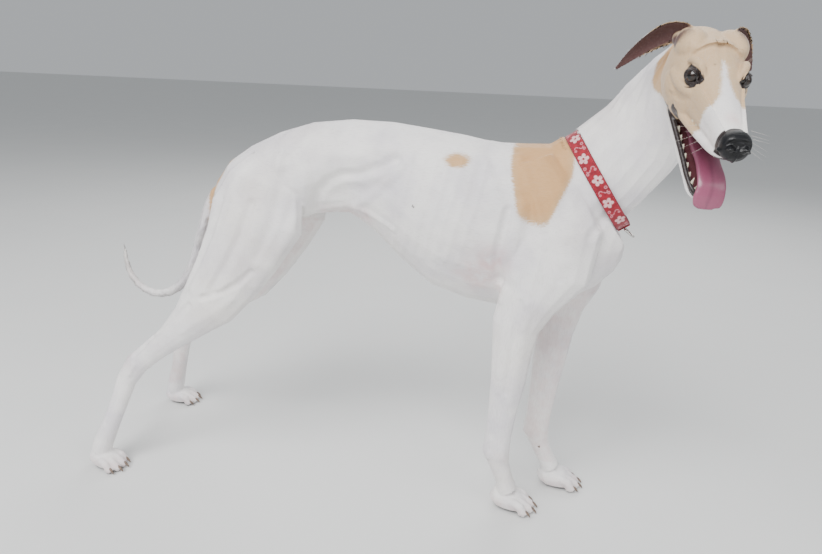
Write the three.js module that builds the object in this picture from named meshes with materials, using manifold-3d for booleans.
// A life-size standing greyhound, as a museum shows one: weight over the fore feet, hind legs stretched
// back, tail hanging and turned up at its end, head turned to the dog's right with the mouth open.
// Millimetres. +X runs to the chest, +Y to the dog's left, +Z up, and the paws stand on Z = 0.
import * as THREE from 'three';
import { mergeVertices } from 'three/addons/utils/BufferGeometryUtils.js';
import Module from 'manifold-3d';

const wasm = await Module();
wasm.setup();

// Driving dimensions
const GAP = 0.3;                 // left between pieces that touch
const CLEAR = 0.36;              // how far a neighbour is grown before it cuts, so that GAP is left
const FLOOR = 0;
const REACH = 3000;              // size of the blocks that keep one side of a cut
const HEAD_SCALE = 1.06;         // head drawn with 68 mm between the corneas, built with 72 mm
const HEAD_AT = [605, -196, 811];        // the point midway between the eyes
const HEAD_TURN = [-3.3, 21.8, -83.4];   // roll, nose down and turn to the right, in degrees
const EYE_RADIUS = 11.5;
const EYE_SPREAD = 29.5;         // centre line of the head to the middle of an eyeball
const EAR_THICK = 3.2;
const COLLAR_THICK = 3.2;
const HIND_FOOT_OUT = 143;       // centre line to the middle of a hind paw
const FORE_FOOT_OUT = 50;

// Colours of the finish that each piece carries
const COATS = {
  white: { color: '#e6e1de', roughness: 0.75 },
  fawn: { color: '#c9ae8c', roughness: 0.75 },
  nose: { color: '#1c1a1c', roughness: 0.35 },
  eye: { color: '#2a1a12', roughness: 0.1 },
  tongue: { color: '#b77f86', roughness: 0.4 },
  collar: { color: '#b02a3c', roughness: 0.8 },
  steel: { color: '#b9b9bb', roughness: 0.3, metalness: 1 },
};

const vec = (p) => new THREE.Vector3(...p);
const LEFT = [0, 1, 0];

// A value between the entries of a list, on a smooth curve through them; at is a place in the list.
function between(list, at) {
  const i = Math.min(Math.floor(at), list.length - 2);
  const u = at - i;
  const p = [i - 1, i, i + 1, i + 2].map((k) => list[Math.min(Math.max(k, 0), list.length - 1)]);
  const inSlope = (p[2] - p[0]) / 2;
  const outSlope = (p[3] - p[1]) / 2;
  const u2 = u * u;
  const u3 = u2 * u;
  return (2 * u3 - 3 * u2 + 1) * p[1] + (u3 - 2 * u2 + u) * inSlope
    + (3 * u2 - 2 * u3) * p[2] + (u3 - u2) * outSlope;
}

// A closed surface over rings of points, each with the same count, with a fan at either end.
function overRings(rings) {
  const sides = rings[0].length;
  const points = rings.flat();
  const middles = [rings[0], rings[rings.length - 1]].map((ring) => {
    const sum = ring.reduce((total, p) => total.add(p), new THREE.Vector3());
    return sum.divideScalar(sides);
  });
  const faces = [];
  for (let r = 0; r + 1 < rings.length; r += 1) {
    for (let k = 0; k < sides; k += 1) {
      const a = r * sides + k;
      const b = r * sides + ((k + 1) % sides);
      faces.push(a, b, b + sides, a, b + sides, a + sides);
    }
  }
  const last = (rings.length - 1) * sides;
  const foot = points.length;
  for (let k = 0; k < sides; k += 1) {
    const next = (k + 1) % sides;
    faces.push(foot, next, k, foot + 1, last + k, last + next);
  }
  const geometry = new THREE.BufferGeometry();
  const flat = [...points, ...middles].flatMap((p) => [p.x, p.y, p.z]);
  geometry.setAttribute('position', new THREE.Float32BufferAttribute(flat, 3));
  geometry.setIndex(faces);
  return geometry;
}

// A limb or trunk along a curved middle line. Each station is [x, y, z, half width across, front or top
// radius, back or under radius, side vector]. square is 2 for ovals, more for boxier sections and less
// for keeled ones, given for the front half and the back half. grow makes the whole of it larger.
function limb(stations, { sides = 14, steps = 2, side = LEFT, square = [2, 2], grow = 0 } = {}) {
  const count = (stations.length - 1) * steps;
  const column = (k) => stations.map((station) => station[k]);
  const at = (t) => new THREE.Vector3(...[0, 1, 2].map((k) => between(column(k), t)));
  const sideways = stations.map((station) => station[6] ?? side);
  const rings = [];
  for (let n = 0; n <= count; n += 1) {
    const t = n / steps;
    const ahead = Math.min(t + 0.05, stations.length - 1);
    const behind = Math.max(t - 0.05, 0);
    const along = at(ahead).sub(at(behind)).normalize();
    const across = new THREE.Vector3(...[0, 1, 2].map((k) => between(sideways.map((s) => s[k]), t)));
    across.addScaledVector(along, -across.dot(along)).normalize();
    const front = new THREE.Vector3().crossVectors(along, across);
    const centre = at(t);
    if (n === 0) centre.addScaledVector(along, -grow);
    if (n === count) centre.addScaledVector(along, grow);
    const [wide, fore, back] = [3, 4, 5].map((k) => between(column(k), t) + grow);
    const ring = [];
    for (let k = 0; k < sides; k += 1) {
      const turn = (k / sides) * Math.PI * 2;
      const power = 2 / (Math.cos(turn) > 0 ? square[0] : square[1]);
      const c = Math.sign(Math.cos(turn)) * Math.abs(Math.cos(turn)) ** power;
      const s = Math.sign(Math.sin(turn)) * Math.abs(Math.sin(turn)) ** power;
      const radius = Math.cos(turn) > 0 ? fore : back;
      ring.push(centre.clone().addScaledVector(across, s * wide).addScaledVector(front, c * radius));
    }
    rings.push(ring);
  }
  return overRings(rings);
}

// Solids for joining and cutting
function solid(geometry) {
  const bare = new THREE.BufferGeometry();
  bare.setAttribute('position', geometry.getAttribute('position').clone());
  bare.setIndex(geometry.getIndex());
  const merged = mergeVertices(bare, 1e-4);
  const body = new wasm.Manifold(new wasm.Mesh({
    numProp: 3,
    vertProperties: new Float32Array(merged.getAttribute('position').array),
    triVerts: new Uint32Array(merged.getIndex().array),
  }));
  if (body.volume() > 0) return body;
  const turned = Array.from(merged.getIndex().array);
  for (let k = 0; k < turned.length; k += 3) [turned[k], turned[k + 1]] = [turned[k + 1], turned[k]];
  return new wasm.Manifold(new wasm.Mesh({
    numProp: 3,
    vertProperties: new Float32Array(merged.getAttribute('position').array),
    triVerts: new Uint32Array(turned),
  }));
}

const joined = (bodies) => bodies.reduce((sum, body) => sum.add(body));
const cut = (body, knives) => knives.reduce((rest, knife) => rest.subtract(knife), body);

function largest(body) {
  return body.decompose().reduce((best, part) => (part.volume() > best.volume() ? part : best));
}

// A block whose near face passes through a point and that fills the side the normal points to.
function halfSpace(point, normal) {
  const block = new THREE.BoxGeometry(REACH, REACH, REACH);
  block.translate(0, 0, REACH / 2);
  const turn = new THREE.Quaternion().setFromUnitVectors(vec([0, 0, 1]), vec(normal).normalize());
  block.applyQuaternion(turn);
  block.translate(...point);
  return solid(block);
}

// The pieces of a body between cuts, each cut a [point, direction towards the next piece].
function pieces(body, cuts) {
  const shift = (point, normal, amount) => vec(point).addScaledVector(vec(normal).normalize(), amount);
  const parts = [];
  for (let k = 0; k <= cuts.length; k += 1) {
    let part = body;
    if (k > 0) {
      const [point, normal] = cuts[k - 1];
      part = part.intersect(halfSpace(shift(point, normal, GAP / 2).toArray(), normal));
    }
    if (k < cuts.length) {
      const [point, normal] = cuts[k];
      const back = normal.map((n) => -n);
      part = part.intersect(halfSpace(shift(point, normal, -GAP / 2).toArray(), back));
    }
    parts.push(largest(part));
  }
  return parts;
}

function ball(centre, radii, detail = [16, 10]) {
  const shape = new THREE.SphereGeometry(1, detail[0], detail[1]);
  shape.scale(...radii);
  shape.translate(...centre);
  return shape;
}

// Trunk: [x, top, bottom, half width, height of the widest place]
const TRUNK = [
  [-227, 560, 524, 16, 542],
  [-217, 575, 507, 40, 541],
  [-190, 604, 492, 64, 545],
  [-150, 640, 500, 78, 560],
  [-100, 672, 515, 82, 585],
  [-50, 696, 532, 78, 610],
  [0, 711.5, 541, 68, 632],
  [50, 717, 545, 63, 640],
  [100, 720, 529, 66, 632],
  [150, 719, 500, 77, 610],
  [200, 713, 458, 88, 585],
  [250, 701, 418, 94, 565],
  [300, 694, 402, 95, 555],
  [350, 694, 397, 91, 550],
  [400, 697, 396, 82, 545],
  [440, 688, 402, 70, 540],
  [480, 658, 420, 58, 532],
  [515, 612, 448, 43, 525],
  [534, 572, 480, 27, 522],
  [541, 545, 505, 11, 522],
];
const LOIN_CUT = 140;
const RUMP_CUT = -60;

function trunk(grow = 0) {
  const stations = TRUNK.map(([x, top, bottom, wide, height]) => (
    [x, 0, height, wide, top - height, height - bottom]
  ));
  return solid(limb(stations, { sides: 24, steps: 1, square: [2.15, 1.8], grow }));
}

// Neck: [x, y, z, half width, crest radius, throat radius, turn to the right in degrees]
const NECK = [
  [425, 0, 592, 70, 100, 92, 0],
  [452, 0, 622, 64, 92, 90, 0],
  [475, 0, 642, 60, 87, 88, 0],
  [497, -2, 664, 57, 82, 84, 4],
  [540, -10, 712, 54, 76, 75, 14],
  [567, -27, 752, 53, 77, 70, 32],
  [586, -56, 788, 53, 72, 63, 52],
  [597, -92, 812, 51, 62, 55, 70],
  [602, -125, 818, 44, 41, 46, 83],
];

function neckStations() {
  return NECK.map(([x, y, z, wide, crest, throat, turn]) => {
    const a = THREE.MathUtils.degToRad(turn);
    return [x, y, z, wide, crest, throat, [Math.sin(a), Math.cos(a), 0]];
  });
}

const neck = (grow = 0) => solid(limb(neckStations(), { sides: 20, steps: 1, grow }));

// Collar: a flat woven band round the neck, with a ring at the throat
const COLLAR = {
  at: [484, 0, 638],
  axis: [0.823, 0, 0.569],
  wide: 61,
  deep: 89,
  band: 24,
};
const RING = {
  bar: 1.7,
  round: -4,                     // place on the band, in degrees from the throat
  stand: 2.9,                    // band's face to the middle of the bar
  lean: 18,                      // degrees out of the band's own direction
  outline: [[-13, 0], [0, 0.6], [13, 0], [15, 5], [12, 14], [0, 20], [-12, 14], [-15, 5]],
};

// An oval drum on the collar's axis, larger or smaller than the band's inner face
function collarDrum(more, length) {
  const axis = vec(COLLAR.axis).normalize();
  const stations = [-0.5, 0.5].map((end) => {
    const centre = vec(COLLAR.at).addScaledVector(axis, end * length);
    return [...centre.toArray(), COLLAR.wide + more, COLLAR.deep + more, COLLAR.deep + more];
  });
  return solid(limb(stations, { sides: 36, steps: 1 }));
}

const collarBand = () => collarDrum(COLLAR_THICK, COLLAR.band).subtract(collarDrum(0, COLLAR.band * 2));
const collarRoom = () => (
  collarDrum(COLLAR_THICK * 12, COLLAR.band + 2 * GAP).subtract(collarDrum(-GAP, COLLAR.band * 2))
);

// A bar bent to a closed loop in a plane, as a D-ring or a slide is
function loop(outline, bar, frame) {
  const curve = new THREE.CatmullRomCurve3(outline.map(([x, y]) => new THREE.Vector3(x, y, 0)), true);
  const count = 28;
  const rings = [];
  for (let n = 0; n < count; n += 1) {
    const centre = curve.getPoint(n / count);
    const along = curve.getTangent(n / count);
    const out = new THREE.Vector3().crossVectors(along, new THREE.Vector3(0, 0, 1));
    rings.push(Array.from({ length: 8 }, (_, k) => {
      const turn = (k / 8) * Math.PI * 2;
      return centre.clone().addScaledVector(out, Math.cos(turn) * bar).add(
        new THREE.Vector3(0, 0, Math.sin(turn) * bar),
      );
    }));
  }
  const points = rings.flat();
  const faces = [];
  for (let n = 0; n < count; n += 1) {
    for (let k = 0; k < 8; k += 1) {
      const a = n * 8 + k;
      const b = n * 8 + ((k + 1) % 8);
      const c = ((n + 1) % count) * 8;
      faces.push(a, b, c + ((k + 1) % 8), a, c + ((k + 1) % 8), c + k);
    }
  }
  const geometry = new THREE.BufferGeometry();
  geometry.setAttribute('position', new THREE.Float32BufferAttribute(points.flatMap((p) => p.toArray()), 3));
  geometry.setIndex(faces);
  geometry.applyMatrix4(frame);
  return solid(geometry);
}

// Where on the band a fitting sits: round is the angle from the throat towards the dog's left, in degrees
function onBand(round, out) {
  const axis = vec(COLLAR.axis).normalize();
  const throat = new THREE.Vector3().crossVectors(vec(LEFT), axis);
  const a = THREE.MathUtils.degToRad(round);
  const reach = 1 / Math.hypot(Math.cos(a) / COLLAR.deep, Math.sin(a) / COLLAR.wide);
  const outward = throat.clone().multiplyScalar(Math.cos(a)).addScaledVector(vec(LEFT), Math.sin(a));
  const place = vec(COLLAR.at).addScaledVector(outward, reach + out);
  const aroundBand = new THREE.Vector3().crossVectors(axis, outward).normalize();
  return new THREE.Matrix4().makeBasis(aroundBand, outward, axis).setPosition(place);
}

// Limbs of the dog's right side: [x, y, z, half width, front radius, back radius], top to bottom
const RIGHT_HIND = [
  [-84, -42, 640, 26, 44, 40],
  [-100, -54, 600, 38, 76, 70],
  [-112, -62, 540, 43, 92, 92],
  [-138, -68, 480, 43, 78, 80],
  [-172, -75, 418, 39, 66, 70],
  [-208, -82, 366, 33, 56, 60],
  [-250, -88, 322, 27, 38, 40],
  [-295, -93, 283, 21, 28, 27],
  [-336, -96, 250, 18, 25, 23],
  [-370, -99, 222, 20, 26, 22],
  [-391, -106, 184, 17.5, 21, 21],
  [-405, -117, 138, 16, 18.5, 18.5],
  [-421, -128, 92, 17, 18.5, 18.5],
  [-435, -137, 54, 21, 20, 21],
  [-441, -140, 34, 22, 20, 20],
];
const RIGHT_FORE = [
  [372, -40, 668, 22, 36, 42],
  [398, -50, 612, 32, 62, 62],
  [422, -58, 552, 36, 80, 76],
  [414, -64, 490, 38, 76, 74],
  [390, -68, 432, 35, 50, 52],
  [374, -69, 386, 30, 42, 44],
  [369, -68, 336, 26, 38, 35],
  [367, -66, 276, 22, 34, 31],
  [363, -63, 216, 19, 28, 27],
  [360, -60, 162, 19, 25, 25],
  [359, -57, 124, 21, 25, 28],
  [365, -55, 96, 18, 20, 19],
  [376, -52, 66, 18, 18, 18],
  [385, -50, 40, 22, 19, 20],
];
const LEFT_FORE = [
  [385, 40, 668, 22, 36, 42],
  [415, 50, 612, 32, 62, 62],
  [440, 58, 552, 36, 76, 76],
  [452, 62, 490, 38, 78, 78],
  [450, 67, 432, 35, 68, 66],
  [446, 68, 384, 30, 48, 46],
  [443, 66, 330, 26, 37, 36],
  [438, 63, 270, 22, 34, 32],
  [434, 60, 212, 19, 29, 28],
  [431, 57, 158, 19, 26, 26],
  [430, 54, 118, 21, 25, 29],
  [438, 52, 92, 18, 20, 19],
  [452, 50, 64, 18, 18, 18],
  [465, 50, 40, 22, 19, 20],
];
const LEFT_HIND = RIGHT_HIND.map(([x, y, z, ...radii]) => [x - 6 * (1 - z / 662), -y, z, ...radii]);

// A paw: heel pad, four arched toes and their claws, cut flat where it stands.
const PAW = { length: 84, width: 58, height: 40 };
const HIND_PAW_SIZE = 0.93;
const TOES = [
  { across: -0.36, reach: 0.4, turn: 9 },
  { across: -0.13, reach: 0.5, turn: 3 },
  { across: 0.13, reach: 0.5, turn: -3 },
  { across: 0.36, reach: 0.4, turn: -9 },
];

function paw([x, y], heading, size = 1) {
  const { length, width, height } = PAW;
  const instep = [
    [-0.42 * length, 0, 14, 14, 12, 15],
    [-0.34 * length, 0, 20, 21, 20, 22],
    [-0.12 * length, 0, 22, 26, 20, 25],
    [0.1 * length, 0, 19, 27, 17, 22],
    [0.28 * length, 0, 14, 21, 11, 17],
  ];
  const parts = [solid(limb(instep, { sides: 12, steps: 1 }))];
  for (const { across, reach, turn } of TOES) {
    const middle = across * width;
    const toe = [
      [-0.08 * length, middle * 0.8, height * 0.55, 8, 9, 9],
      [0.1 * length, middle * 0.95, height * 0.62, 9, 9.5, 9],
      [0.26 * length, middle, height * 0.5, 8.8, 9, 9],
      [(reach - 0.07) * length, middle, 11.5, 8.2, 8.5, 13.5],
      [(reach + 0.01) * length, middle, 8, 5.5, 5.5, 9],
    ];
    const claw = [
      [(reach - 0.05) * length, middle, 13, 3.4, 3.8, 3.6],
      [(reach + 0.04) * length, middle, 10.5, 2.7, 3, 2.8],
      [(reach + 0.1) * length, middle, 5.2, 1.1, 1.2, 1.2],
    ];
    for (const [row, sides] of [[toe, 8], [claw, 5]]) {
      const shape = limb(row, { sides, steps: 1 });
      shape.rotateZ(THREE.MathUtils.degToRad(turn * -0.6));
      parts.push(solid(shape));
    }
  }
  const whole = joined(parts).intersect(halfSpace([0, 0, FLOOR], [0, 0, 1]));
  const matrix = new THREE.Matrix4().makeRotationZ(THREE.MathUtils.degToRad(heading));
  matrix.scale(vec([size, size, size]));
  matrix.setPosition(x, y, 0);
  return largest(whole.transform(matrix.elements));
}

// Tail, root to tip: [x, y, z, half width, front radius, back radius]
const TAIL = [
  [-196, 0, 578, 20, 18, 18],
  [-222, 0, 560, 19, 17, 17],
  [-244, 0, 520, 15.5, 15.5, 15.5],
  [-262, 0, 470, 13.5, 13.5, 13.5],
  [-284, 0, 418, 12, 12, 12],
  [-308, 0, 376, 10.5, 10.5, 10.5],
  [-344, 0, 346, 9.3, 9.3, 9.3],
  [-384, 0, 338, 8.2, 8.2, 8.2],
  [-418, 0, 352, 7, 7, 7],
  [-438, 0, 380, 5.8, 5.8, 5.8],
  [-444, 0, 410, 4.4, 4.4, 4.4],
  [-443, 0, 432, 1.6, 1.6, 1.6],
];

// Head, in its own frame: +X to the nose, +Y to its left, +Z up, the point between the eyes at the origin.
// [x, top, bottom, half width, height of the widest place]
const SKULL = [
  [-112, 8, -22, 16, -6],
  [-104, 24, -40, 32, -8],
  [-84, 33, -58, 44, -12],
  [-58, 35, -70, 49, -22],
  [-30, 32, -71, 49, -28],
  [-8, 24, -66, 44, -24],
  [12, 13, -58, 36, -20],
  [34, 5, -53, 29, -24],
  [60, -3, -50, 24, -28],
  [86, -11, -49, 20, -32],
  [106, -18, -51, 17.5, -35],
  [117, -24, -51, 14, -38],
];
const JAW_HINGE = [-52, 0, -38];
const JAW_OPEN = 27;             // degrees
// Lower jaw closed, from the hinge: [x, half width, top, bottom]
const JAW = [
  [-14, 30, 0, -30],
  [14, 36, -4, -40],
  [48, 33, -10, -40],
  [84, 26, -13, -36],
  [118, 20.5, -14, -32],
  [144, 17, -14, -29],
  [156, 11, -15, -25],
];
// Nose leather: [x, half width, top, bottom]
const NOSE = [
  [100, 11, -19, -42],
  [110, 16, -17.5, -48],
  [118, 16.8, -19.5, -51],
  [124, 14.5, -23, -49],
  [128, 8, -28, -43],
];

const headMatrix = (() => {
  const [roll, down, turn] = HEAD_TURN.map(THREE.MathUtils.degToRad);
  const matrix = new THREE.Matrix4().makeRotationFromEuler(new THREE.Euler(roll, down, turn, 'ZYX'));
  matrix.scale(vec([HEAD_SCALE, HEAD_SCALE, HEAD_SCALE]));
  return matrix.setPosition(...HEAD_AT);
})();
const inHead = (body) => body.transform(headMatrix.elements);

const skullStations = SKULL.map(([x, top, bottom, wide, height]) => (
  [x, 0, height, wide, top - height, height - bottom]
));

function noseShape(grow = 0) {
  const stations = NOSE.map(([x, wide, top, bottom]) => {
    const half = (top - bottom) / 2;
    return [x, 0, bottom + half, wide, half, half];
  });
  return solid(limb(stations, { sides: 16, steps: 1, square: [2.4, 2], grow }));
}

// Lower jaw, opened about its hinge
function inJaw(geometry) {
  geometry.rotateY(THREE.MathUtils.degToRad(JAW_OPEN));
  geometry.translate(...JAW_HINGE);
  return solid(geometry);
}

function jawShape(grow = 0) {
  const stations = JAW.map(([x, wide, top, bottom]) => {
    const half = (top - bottom) / 2;
    return [x, 0, bottom + half, wide, half, half];
  });
  return inJaw(limb(stations, { sides: 18, steps: 1, square: [3, 2], grow }));
}

function tooth(x, y, z, radius, height, up) {
  const shape = new THREE.ConeGeometry(radius, height, 5, 1);
  shape.rotateX(up ? Math.PI / 2 : -Math.PI / 2);
  shape.translate(x, y, z + (up ? height / 2 : -height / 2));
  return shape;
}

// A row of teeth along both sides and round the front: [along, out] of each tooth, with its size.
function toothRow(front, back, wideFront, wideBack, z, up) {
  const shapes = [];
  const cheek = 5;
  for (const hand of [-1, 1]) {
    for (let k = 0; k < cheek; k += 1) {
      const t = k / (cheek - 1);
      const x = THREE.MathUtils.lerp(front - 22, back, t);
      const y = THREE.MathUtils.lerp(wideFront, wideBack, t) * hand;
      shapes.push(tooth(x, y, z, 4.2 + t * 1.6, 11, up));
    }
    shapes.push(tooth(front - 9, wideFront * 0.92 * hand, z, 3.6, 17, up));
    shapes.push(tooth(front - 2, wideFront * 0.5 * hand, z, 2.4, 9, up));
    shapes.push(tooth(front, wideFront * 0.17 * hand, z, 2.4, 9, up));
  }
  return shapes;
}

function eyeBall(hand, grow = 0) {
  const radius = EYE_RADIUS / HEAD_SCALE + grow;
  return solid(ball([-3, EYE_SPREAD * hand, -1], [radius, radius, radius], [14, 9]));
}

// The rim of the lids, a soft almond ring round the eye
function lids(hand) {
  const ring = new THREE.TorusGeometry(9.4, 3.1, 5, 14);
  ring.scale(1.22, 0.86, 1);
  ring.rotateX(Math.PI / 2);
  ring.rotateX(THREE.MathUtils.degToRad(14 * hand));
  ring.rotateZ(THREE.MathUtils.degToRad(-48 * hand));
  ring.translate(2.5, (EYE_SPREAD + 4.2) * hand, -1);
  return solid(ring);
}

// An ear: a leaf whose edges curl into a cup. path is its middle line, each place [x, y, z], open the
// side that the cup faces, and shape gives [half width, cup depth] at each place.
function ear(path, open, shape) {
  const across = 6;
  const rings = path.map((place, n) => {
    const ahead = vec(path[Math.min(n + 1, path.length - 1)]);
    const along = ahead.sub(vec(path[Math.max(n - 1, 0)])).normalize();
    const face = vec(open);
    face.addScaledVector(along, -face.dot(along)).normalize();
    const sideways = new THREE.Vector3().crossVectors(along, face);
    const [half, cup] = shape[n];
    const thick = n === path.length - 1 ? EAR_THICK * 0.35 : EAR_THICK;
    const row = (inner) => Array.from({ length: across + 1 }, (_, k) => {
      const u = (k / across) * 2 - 1;
      const depth = -cup * (1 - u * u) + (inner ? thick : 0) * (1 - 0.5 * u * u);
      const reach = half * (inner ? 1 - thick / (half + thick) * 0.5 : 1);
      return vec(place).addScaledVector(sideways, u * reach).addScaledVector(face, depth);
    });
    return [...row(false), ...row(true).reverse()];
  });
  return solid(overRings(rings));
}

// Right ear, held back and out with its cup to the front; left ear folded back along the neck
const EAR_RIGHT = {
  path: [[580, -152, 842], [567, -142, 865], [546, -131, 867], [523, -119, 853], [502, -108, 836], [483, -97, 817]],
  open: [0.05, -0.9, -0.45],
};
const EAR_LEFT = {
  path: [[616, -152, 842], [628, -140, 857], [639, -125, 859], [650, -112, 848], [659, -101, 834], [667, -92, 821]],
  open: [0.6, -0.75, -0.2],
};
const EAR_SHAPE = [[13, 5], [16, 9], [17, 11], [14, 9], [9, 5], [2.5, 0.8]];

// Tongue: lies in the jaw and hangs over its front
const TONGUE = [
  [30, 0, -9, 17, 5, 6],
  [62, 1, -8, 17.5, 5.5, 6],
  [96, 4, -4, 16.5, 5, 5],
  [126, 7, 0, 16, 4.4, 4.4],
  [146, 8, 0, 17.5, 4, 4],
  [156, 8, -5, 18.5, 3.8, 3.8],
  [163, 7, -11, 18.5, 3.6, 3.6],
  [168, 6, -16, 15.5, 3.2, 3.2],
  [171, 6, -19, 8, 2.4, 2.4],
];

function tongueShape(grow = 0) {
  return inJaw(limb(TONGUE, { sides: 12, steps: 1, square: [2.6, 2.6], grow }));
}

// Mouth: the hollow between the cheeks that the open jaw shows
const MOUTH = [
  [-30, 0, -56, 20, 8, 22],
  [0, 0, -53, 24, 8, 26],
  [40, 0, -52, 19.5, 6, 30],
  [80, 0, -52, 15.5, 5, 30],
  [104, 0, -52, 11, 4, 30],
];
// The trough that the tongue lies in, in the lower jaw
const JAW_HOLLOW = [
  [0, 0, 2, 22, 8, 10],
  [50, 0, 0, 23, 10, 17],
  [100, 0, -2, 17, 10, 15],
  [138, 0, -4, 11, 9, 11],
];
const NOSTRIL = { at: [126, 7.5, -32], radii: [6, 3.6, 4] };

function build() {
  const group = new THREE.Group();
  const add = (name, coat, body) => {
    const mesh = body.getMesh();
    const geometry = new THREE.BufferGeometry();
    geometry.setAttribute('position', new THREE.BufferAttribute(new Float32Array(mesh.vertProperties), 3));
    geometry.setIndex(Array.from(mesh.triVerts));
    geometry.computeVertexNormals();
    const piece = new THREE.Mesh(geometry, new THREE.MeshStandardMaterial(COATS[coat]));
    piece.name = name;
    group.add(piece);
  };

  // Trunk
  const wideTrunk = trunk(CLEAR);
  const parts = pieces(trunk(), [[[RUMP_CUT, 0, 0], [1, 0, 0]], [[LOIN_CUT, 0, 0], [1, 0, 0]]]);
  add('rump', 'white', parts[0]);
  add('loin', 'white', parts[1]);
  add('chest', 'white', largest(cut(parts[2], [collarRoom()])));

  // Head
  const eyes = { right: eyeBall(-1), left: eyeBall(1) };
  const eyeKnives = [eyeBall(-1, CLEAR), eyeBall(1, CLEAR)];
  const skull = solid(limb(skullStations, { sides: 22, steps: 1, square: [2.1, 2.3] }));
  const wideSkull = solid(limb(skullStations, { sides: 22, steps: 1, square: [2.1, 2.3], grow: CLEAR }));
  const mouth = solid(limb(MOUTH, { sides: 12, steps: 1, square: [2.6, 2.6] }));
  const upperTeeth = toothRow(110, 30, 14, 19, -44, false).map(solid);
  const face = cut(joined([skull, lids(-1), lids(1)]), [mouth]);
  const head = largest(cut(joined([face, ...upperTeeth]), [noseShape(CLEAR), ...eyeKnives]));
  const jawHollow = inJaw(limb(JAW_HOLLOW, { sides: 12, steps: 1, square: [2.6, 2.6] }));
  const lowerTeeth = toothRow(150, 60, 13.5, 21, -19, true).map(inJaw);
  const tongue = tongueShape();
  const wideTongue = tongueShape(CLEAR);
  const jawAlone = joined([cut(jawShape(), [jawHollow]), ...lowerTeeth]);
  const jaw = largest(cut(jawAlone, [wideSkull, wideTongue]));
  const nostrils = [-1, 1].map((hand) => {
    const [x, y, z] = NOSTRIL.at;
    return solid(ball([x, y * hand, z], NOSTRIL.radii, [10, 8]));
  });
  const nose = largest(cut(noseShape(), nostrils));

  const wideHead = inHead(wideSkull);
  const wideJaw = inHead(jawShape(CLEAR));
  add('head', 'fawn', inHead(head));
  add('lower_jaw', 'fawn', inHead(jaw));
  add('nose', 'nose', inHead(nose));
  add('tongue', 'tongue', inHead(largest(cut(tongue, [wideSkull]))));
  add('eye_right', 'eye', inHead(eyes.right));
  add('eye_left', 'eye', inHead(eyes.left));

  // Neck and ears
  const wideNeck = neck(CLEAR);
  const neckBody = cut(neck(), [wideTrunk, wideHead, wideJaw, collarRoom()]);
  const [neckRoot, neckTop] = pieces(neckBody, [[COLLAR.at, COLLAR.axis]]);
  add('neck_root', 'white', neckRoot);
  add('neck', 'white', neckTop);
  for (const [side, { path, open }] of [['right', EAR_RIGHT], ['left', EAR_LEFT]]) {
    const leaf = ear(path, open, EAR_SHAPE);
    add(`ear_${side}`, 'fawn', largest(cut(leaf, [wideHead, wideNeck])));
  }

  // Legs: middle line, place and heading of the paw, and where each is parted as [x, z]
  const legs = {
    fore_right: [RIGHT_FORE, [395, -FORE_FOOT_OUT], -4, [[383, 440], [367, 160], [378, 70]]],
    fore_left: [LEFT_FORE, [482, FORE_FOOT_OUT], 4, [[443, 440], [433, 156], [452, 68]]],
    hind_right: [RIGHT_HIND, [-428, -HIND_FOOT_OUT], -8, [[-190, 395], [-372, 236], [-430, 66]]],
    hind_left: [LEFT_HIND, [-432, HIND_FOOT_OUT], 8, [[-192, 395], [-376, 236], [-434, 66]]],
  };
  const names = {
    fore: ['shoulder', 'forearm', 'pastern', 'paw'],
    hind: ['thigh', 'gaskin', 'hock', 'paw'],
  };
  const ends = { fore: 'front', hind: 'rear' };
  const tilt = {
    fore: [[0, 0, -1], [0, 0, -1], [0.3, 0, -1]],
    hind: [[-0.6, 0, -0.8], [-0.55, 0, -0.83], [-0.2, 0, -1]],
  };
  for (const [leg, [rows, footing, heading, joints]] of Object.entries(legs)) {
    const [pair, side] = leg.split('_');
    const size = pair === 'fore' ? 1 : HIND_PAW_SIZE;
    const whole = joined([solid(limb(rows, { sides: 14, steps: 1 })), paw(footing, heading, size)]);
    const free = cut(whole, [wideTrunk, ...(pair === 'fore' ? [wideNeck, collarRoom()] : [])]);
    const cuts = joints.map(([x, z], k) => [[x, 0, z], tilt[pair][k]]);
    pieces(free, cuts).forEach((part, k) => add(`${names[pair][k]}_${side}_${ends[pair]}`, 'white', part));
  }

  // Collar, with the ring that hangs at the throat
  add('collar_band', 'collar', collarBand());
  const ringLean = new THREE.Matrix4().makeRotationX(THREE.MathUtils.degToRad(RING.lean));
  const ringFrame = onBand(RING.round, COLLAR_THICK + RING.stand).multiply(ringLean);
  add('collar_ring', 'steel', loop(RING.outline, RING.bar, ringFrame));

  // Tail
  const tail = cut(solid(limb(TAIL, { sides: 12, steps: 2 })), [wideTrunk]);
  const [tailRoot, tailTip] = pieces(tail, [[[-316, 0, 368], [-0.75, 0, -0.66]]]);
  add('tail_root', 'white', tailRoot);
  add('tail_tip', 'white', tailTip);
  return group;
}

// The whole stands over the middle of its own outline.
const greyhound = build();
const outline = new THREE.Box3().setFromObject(greyhound);
const middle = outline.getCenter(new THREE.Vector3());
greyhound.position.set(-middle.x, -middle.y, -outline.min.z);

export default greyhound;
